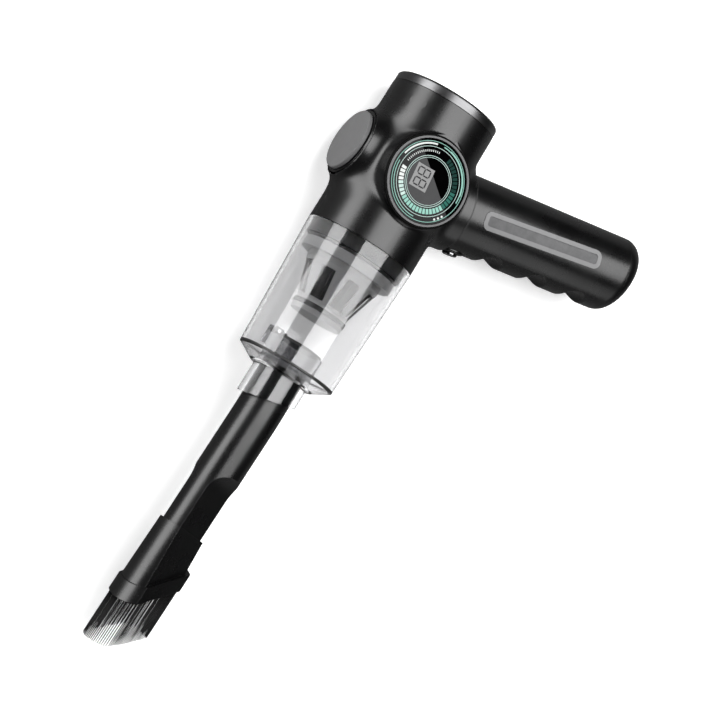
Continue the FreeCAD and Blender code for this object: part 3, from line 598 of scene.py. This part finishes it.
def make_filaments():
    """Stiff straight filaments that thin a little towards uneven tips."""
    dice = random.Random(7)
    strands = []
    for y, z in along_loop(rim_loop(), FILAMENTS):
        root = HEAD_BOTTOM_X - HEAD_SLOPE * y - FILAMENT_ROOT
        tip = TIP_X - TIP_SLOPE * y - dice.uniform(0.0, TIP_UNEVEN)
        radius = FILAMENT_R * dice.uniform(0.8, 1.1)
        profile = [(0, root), (radius, root), (radius, tip - FILAMENT_TAPER),
                   (TIP_SHARE * radius, tip), (0, tip)]
        strands.append(turned_solid("strand", profile, FILAMENT_SIDES, axis="X"))
        strands[-1].transform(Matrix.Translation((0, y, z)))
    whole = joined("filaments", strands)
    whole.transform(NOZZLE_SEAT)
    piece = add_piece("filaments", whole, "brush", "bristle_grey")
    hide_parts("bristles")


make_display_trim()
make_button_surround()
make_filaments()


# ---- display print and painted glare ---------------------------------------------
WINDOW_TOP = 0.2
PRINT_LIFT = 0.02
PRINT_THICK = 0.05
PRINT_LAYER = 0.03
DIAL_TWELVE = 211.3


def dial_angle(clock):
    """Angle about the display's axis of a clock hand's turn from the dial's twelve."""
    return math.radians(DIAL_TWELVE - clock)


def sector(r_in, r_out, clock_from, clock_to, layer=0, steps=None):
    """Closed thin solid of a ring's stretch between two clock turns, in degrees."""
    steps = steps or max(2, int(abs(clock_to - clock_from) / 3))
    low = WINDOW_TOP + PRINT_LIFT + layer * PRINT_LAYER
    high = low + PRINT_THICK
    closed = abs(clock_to - clock_from) > 359.9
    count = steps if closed else steps + 1
    corners, faces = [], []
    for index in range(count):
        angle = dial_angle(clock_from + (clock_to - clock_from) * index / steps)
        for radius, height in ((r_in, low), (r_out, low), (r_out, high), (r_in, high)):
            corners.append((radius * math.cos(angle), radius * math.sin(angle), height))
    for index in range(steps):
        here, there = 4 * index, 4 * ((index + 1) % count)
        for side in range(4):
            after = (side + 1) % 4
            faces.append((here + side, there + side, there + after, here + after))
    if not closed:
        faces.append((3, 2, 1, 0))
        end = 4 * (count - 1)
        faces.append((end, end + 1, end + 2, end + 3))
    return mesh_of("sector", corners, faces, DISPLAY_SEAT)


def slab(outline, low, high, seat=DISPLAY_SEAT):
    """Closed thin solid over a flat outline of (x, y) points."""
    count = len(outline)
    corners = [(x, y, low) for x, y in outline] + [(x, y, high) for x, y in outline]
    faces = [tuple(reversed(range(count))), tuple(range(count, 2 * count))]
    for index in range(count):
        after = (index + 1) % count
        faces.append((index, after, count + after, count + index))
    return mesh_of("slab", corners, faces, seat)


def dial_point(radius, clock):
    """Place on the dial at a clock hand's turn."""
    return radius * math.cos(dial_angle(clock)), radius * math.sin(dial_angle(clock))


MINT = (0.42, 0.80, 0.68)
PALE_MINT = (0.72, 0.93, 0.86)
DIM_GREEN = (0.02, 0.10, 0.08)
WHITE = (0.95, 1.0, 0.97)
PRINT_AND_GLARE = {
    "print_mint": lit("print_mint", MINT, 0.75),
    "print_pale": lit("print_pale", PALE_MINT, 0.85),
    "print_white": lit("print_white", WHITE, 0.85),
    "print_dim": lit("print_dim", DIM_GREEN, 0.35),
    "print_deep": lit("print_deep", (0.06, 0.28, 0.22), 0.5),
    # glare_inner and glare_outer are painted reflection: grey laid on the dial where a soft box would
    # mirror
    "glare_inner": moulded("glare_inner", (0.040, 0.040, 0.041), 0.2, depth=0.001, shift=0.04,
                           specular=0.05),
    "glare_outer": moulded("glare_outer", (0.011, 0.011, 0.0115), 0.2, depth=0.001, shift=0.04,
                           specular=0.05),
    "plate_grey": moulded("plate_grey", (0.20, 0.20, 0.20), 0.35, depth=0.002, shift=0.04,
                          specular=0.05),
    "digit_dark": moulded("digit_dark", (0.02, 0.02, 0.021), 0.35, depth=0.002, shift=0.05,
                          specular=0.05),
}


def add_print_and_glare(name, meshes, material):
    """Printed shapes under the display window, as one piece; the painted glare is laid in the same
    way.
    """
    add_piece(name, joined(name, meshes), "housing", "display_glass", PRINT_AND_GLARE[material], smooth=False)


# each ring's radius as a share of the window's, and its width
OUTER_RINGS = [(0.893, 0.30)]
INNER_RINGS = [(0.775, 0.26), (0.567, 0.30), (0.527, 0.22)]


def ring(share, width):
    return sector(DISPLAY_R * share - width / 2, DISPLAY_R * share + width / 2, 0, 360, 1, 144)


def make_rings():
    add_print_and_glare("display_rings_outer", [ring(*one) for one in OUTER_RINGS], "print_mint")
    add_print_and_glare("display_rings_inner", [ring(*one) for one in INNER_RINGS], "print_pale")


ARC_SHARE = 0.842
DOT_SHARE = 0.85
DOT_R = 0.62
DOT_STEPS = 16
TICKS = 18
TICK_START = -48
TICK_PITCH = 4.1
TICK_WIDTH = 1.4


def make_arcs():
    """The ring of broken arcs, three dots at its foot and a row of ticks inside it."""
    radius = DISPLAY_R * ARC_SHARE
    add_print_and_glare("display_arc_bright", [sector(radius - 0.45, radius + 0.45, -44, 15, 1)], "print_white")
    arcs = [sector(radius - 0.28, radius + 0.28, 27, 124, 1),
            sector(radius - 0.3, radius + 0.1, 204, 303, 1),
            sector(radius + 0.3, radius + 0.62, 40, 112, 1)]
    add_print_and_glare("display_arcs", arcs, "print_mint")
    dots = []
    for clock in (155, 161.5, 168):
        x, y = dial_point(DISPLAY_R * DOT_SHARE, clock)
        turns = [math.tau * k / DOT_STEPS for k in range(DOT_STEPS)]
        outline = [(x + DOT_R * math.cos(turn), y + DOT_R * math.sin(turn)) for turn in turns]
        low = WINDOW_TOP + PRINT_LIFT + PRINT_LAYER
        dots.append(slab(outline, low, low + PRINT_THICK))
    add_print_and_glare("display_dots", dots, "print_white")
    starts = [TICK_START + TICK_PITCH * k for k in range(TICKS)]
    ticks = [sector(DISPLAY_R * 0.655, DISPLAY_R * 0.70, start, start + TICK_WIDTH, 1, 2)
             for start in starts]
    add_print_and_glare("display_ticks", ticks, "print_white")


BLOCKS = 35
BLOCK_PITCH = 7.3
BLOCK_START = 300.0
BLOCK_FILL = 0.76
# each shade, and the block at which it ends
BLOCK_SHADES = (("white", 4), ("pale", 8), ("mint", 21), ("deep", 26), ("dim", BLOCKS))


def make_blocks():
    """Level blocks from the upper left, against the clock: bright, then mint, then dim."""
    first = 0
    for shade, end in BLOCK_SHADES:
        starts = [BLOCK_START - index * BLOCK_PITCH for index in range(first, end)]
        blocks = [sector(DISPLAY_R * 0.605, DISPLAY_R * 0.722, clock,
                         clock - BLOCK_PITCH * BLOCK_FILL, 1, 3) for clock in starts]
        add_print_and_glare("display_blocks_" + shade, blocks, "print_" + shade)
        first = end


# the glare is a painted reflection of a soft box, laid on the dial as two thin grey slabs
GLARE_FROM = -13.0
GLARE_TO = 148.0
GLARE_R = 22.7
GLARE_SPLIT_R = 12.6
GLARE_THICK = 0.012
GLARE_STEPS = 60


def make_glare():
    """Painted glare: a soft box's reflection painted on the dark dial as a lighter inner segment and
    a dimmer outer one, on the cap's side of a slanting line.
    """
    ends = [np.array(dial_point(GLARE_R, clock)) for clock in (GLARE_FROM, GLARE_TO)]
    along = ends[1] - ends[0]

    def part(radius, low, name, material):
        start = ends[0]
        square = along @ along
        slope = 2 * start @ along
        rest = start @ start - radius ** 2
        root = math.sqrt(slope * slope - 4 * square * rest)
        cuts = [start + along * (-slope + sign * root) / (2 * square) for sign in (-1, 1)]
        angles = [math.atan2(cut[1], cut[0]) for cut in cuts]
        turn = (angles[1] - angles[0]) % math.tau
        turns = [angles[0] + turn * k / GLARE_STEPS for k in range(GLARE_STEPS + 1)]
        outline = [(radius * math.cos(angle), radius * math.sin(angle)) for angle in turns]
        add_print_and_glare(name, [slab(outline, low, low + GLARE_THICK)], material)

    low = WINDOW_TOP + 0.004
    part(GLARE_R, low, "display_glare_outer", "glare_outer")
    part(GLARE_SPLIT_R, low + GLARE_THICK, "display_glare_inner", "glare_inner")


PLATE_CENTRE = (0.14, -4.2)
PLATE_SIZE = (12.9, 10.7)
PLATE_TURN = 5.1
DIGIT_WIDTH = 3.9
DIGIT_HEIGHT = 7.2
DIGIT_STROKE = 0.75
DIGIT_GAP = 0.16
DIGIT_SHIFT = 0.25
PLATE_LIFT = 0.04
PLATE_THICK = 0.04


def bar(x0, y0, x1, y1):
    """Pointed seven-segment bar between two corners."""
    start, end = Vector((x0, y0)), Vector((x1, y1))
    along = (end - start).normalized()
    across = Vector((-along.y, along.x)) * DIGIT_STROKE / 2
    start += along * DIGIT_GAP
    end -= along * DIGIT_GAP
    nib = along * DIGIT_STROKE / 2
    return [start, start + nib - across, end - nib - across,
            end, end - nib + across, start + nib + across]


def make_readout():
    """Pale plate with two seven-segment figures, both reading eight."""
    seat = DISPLAY_SEAT @ Matrix.Translation((*PLATE_CENTRE, 0)) @ Matrix.Rotation(
        math.radians(PLATE_TURN), 4, "Z")
    half_x, half_y = PLATE_SIZE[0] / 2, PLATE_SIZE[1] / 2
    low = WINDOW_TOP + PRINT_LIFT + PLATE_LIFT
    outline = [(-half_x, -half_y), (half_x, -half_y), (half_x, half_y), (-half_x, half_y)]
    add_print_and_glare("display_plate", [slab(outline, low, low + PLATE_THICK, seat)], "plate_grey")
    bars = []
    for centre in (-half_x / 2 + DIGIT_SHIFT, half_x / 2 - DIGIT_SHIFT):
        left, right = centre - DIGIT_WIDTH / 2, centre + DIGIT_WIDTH / 2
        levels = (-DIGIT_HEIGHT / 2, 0, DIGIT_HEIGHT / 2)
        for level in levels:
            bars.append(bar(left, level, right, level))
        for side in (left, right):
            for start, end in zip(levels, levels[1:]):
                bars.append(bar(side, start, side, end))
    digits = [slab(one, low + 0.042, low + 0.07, seat) for one in bars]
    add_print_and_glare("display_digits", digits, "digit_dark")


make_rings()
make_arcs()
make_blocks()
make_glare()
make_readout()


# ---- room, lights and camera -----------------------------------------------------
CAMERA_AZIMUTH = 15.96
CAMERA_ELEVATION = 64.97
CAMERA_ROLL = 106.8
CAMERA_LENS = 150.0
SENSOR_WIDTH = 36.0
CAMERA_FROM_ORIGIN = Vector((0.281251, -0.619351, 1.457190))

PANEL_REACH = 1.1
FLOOR_GLOW = 0.45
FLOOR_WHITE = (0.86, 0.86, 0.86)
FLOOR_MIRRORED = (0.12, 0.12, 0.12)
FLOOR_HALF = 4.0
FLOOR_DROP = 0.0004
WORLD_SEEN = 0.95
WORLD_MIRRORED = 0.02


def mirrored_only(tree):
    """1 for rays mirrored off a surface, 0 for those seen directly or through clear plastic."""
    path = add(tree, "ShaderNodeLightPath")
    node = add(tree, "ShaderNodeMath", operation="SUBTRACT", use_clamp=True)
    tree.links.new(path.outputs["Is Glossy Ray"], node.inputs[0])
    tree.links.new(path.outputs["Is Transmission Ray"], node.inputs[1])
    return node.outputs["Value"]


def floor_paper():
    """White paper that mirrors in the object as a dimmer floor."""
    material = moulded("floor_paper", FLOOR_WHITE, 0.9, grain=2.0, shift=0.01, specular=0.1)
    tree = material.node_tree
    shader = tree.nodes["Principled BSDF"]
    mirrored = mirrored_only(tree)
    tree.links.new(blend_colour(tree, mirrored, FLOOR_WHITE, FLOOR_MIRRORED),
                   shader.inputs["Base Color"])
    shader.inputs["Emission Color"].default_value = (1, 1, 1, 1)
    tree.links.new(spread(tree, mirrored, FLOOR_GLOW, 0, 0, 1),
                   shader.inputs["Emission Strength"])
    return material


def make_floor():
    size = FLOOR_HALF
    corners = [(-size, -size, 0), (size, -size, 0), (size, size, 0), (-size, size, 0)]
    mesh = mesh_of("floor", corners, [(0, 1, 2, 3)])
    floor = bpy.data.objects.new("floor", mesh)
    bpy.context.scene.collection.objects.link(floor)
    floor.location.z = -FLOOR_DROP
    mesh.materials.append(floor_paper())


def add_light(name, length, width, radiance, place, turn):
    """A flat rectangular lamp that the camera doesn't see."""
    data = bpy.data.lights.new(name, "AREA")
    data.shape = "RECTANGLE"
    data.size = length
    data.size_y = width
    data.energy = radiance * math.pi * data.size * data.size_y
    light = bpy.data.objects.new(name, data)
    bpy.context.scene.collection.objects.link(light)
    light.matrix_world = Matrix.Translation(place) @ turn.to_4x4()
    light.visible_camera = False


def make_panel(name, low, high, near, far, radiance):
    """A flat soft box beside the barrel, PANEL_REACH from its axis: it spans low..high in degrees
    from +Y over +Z, and near..far along X."""
    middle = math.radians((low + high) / 2)
    width = 2 * PANEL_REACH * math.tan(math.radians(high - low) / 2)
    out = Vector((0, math.cos(middle), math.sin(middle)))
    along = Vector((1, 0, 0))
    place = out * PANEL_REACH + Vector(((near + far) / 2, ORIGIN.y, ORIGIN.z))
    turn = Matrix((along, out.cross(along), out)).transposed()
    add_light(name, far - near, width, radiance, place, turn)


def make_card(name, heading, reach, side, radiance):
    """A dim square panel that faces the barrel from one direction."""
    out = Vector(heading).normalized()
    turn = out.to_track_quat("Z", "Y").to_matrix()
    add_light(name, side, side, radiance, ORIGIN + out * reach, turn)


def make_camera():
    """Looks down on the display side, rolled so that the nozzle runs to the lower left."""
    azimuth, elevation = math.radians(CAMERA_AZIMUTH), math.radians(CAMERA_ELEVATION)
    back = Vector((math.sin(azimuth) * math.cos(elevation),
                   -math.cos(azimuth) * math.cos(elevation), math.sin(elevation)))
    data = bpy.data.cameras.new("camera")
    data.lens = CAMERA_LENS
    data.sensor_width = SENSOR_WIDTH
    data.clip_start = 0.05
    data.clip_end = 20
    camera = bpy.data.objects.new("camera", data)
    bpy.context.scene.collection.objects.link(camera)
    level = (-back).to_track_quat("-Z", "Y").to_matrix()
    roll = Matrix.Rotation(math.radians(CAMERA_ROLL), 3, back)
    place = Matrix.Translation(ORIGIN + CAMERA_FROM_ORIGIN)
    camera.matrix_world = place @ (roll @ level).to_4x4()
    bpy.context.scene.camera = camera


def make_world():
    """Pale behind the object, dim in reflections, as in a studio with black flags."""
    world = bpy.data.worlds.new("studio")
    world.use_nodes = True
    tree = world.node_tree
    background = tree.nodes["Background"]
    background.inputs["Color"].default_value = (1, 1, 1, 1)
    path = add(tree, "ShaderNodeLightPath")
    tree.links.new(spread(tree, path.outputs["Is Camera Ray"], WORLD_MIRRORED, WORLD_SEEN, 0, 1),
                   background.inputs["Strength"])
    bpy.context.scene.world = world


make_floor()
make_world()
make_camera()
make_panel("overhead_box", 54, 108, -1.1, 0.03, 6.6)
make_panel("side_box", 150, 181, -0.9, 0.6, 6.6)
make_card("handle_card", (0.78, 0.45, 0.42), 1.3, 0.9, 1.5)
bpy.context.scene.view_settings.view_transform = "Standard"
